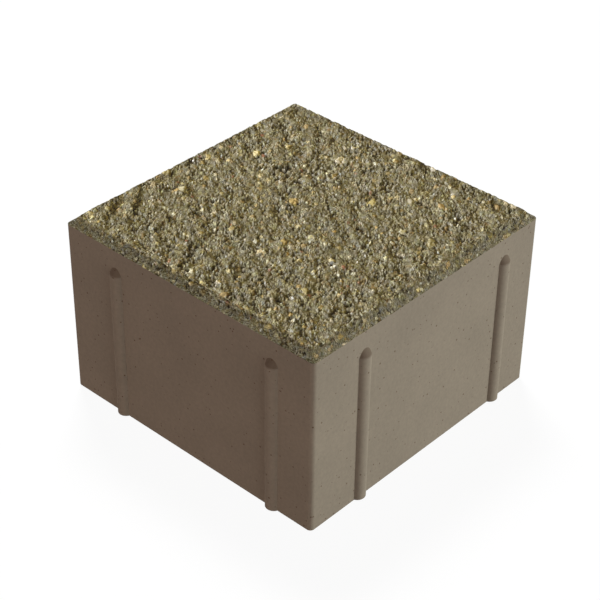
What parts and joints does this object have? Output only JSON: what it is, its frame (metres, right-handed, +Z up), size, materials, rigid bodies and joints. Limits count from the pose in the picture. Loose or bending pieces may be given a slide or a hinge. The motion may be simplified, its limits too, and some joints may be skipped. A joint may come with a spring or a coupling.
{
  "type": "concrete paver",
  "caption": "Square concrete paver with a rough exposed-aggregate wearing face, a chamfered top edge, rounded corners and half-round spacer ribs on its sides.",
  "frame": {"origin": "middle of the bedding face, on the level floor that the paver lies on", "axes": "+Z up from the bedding face to the wearing face; X and Y square to the sides"},
  "size_m": [0.098, 0.098, 0.06],
  "materials": {
    "concrete": "pressed concrete, smooth moulded sides and a rough exposed-aggregate top"
  },
  "bodies": {
    "root": {"paver": "concrete"}
  },
  "joints": []
}
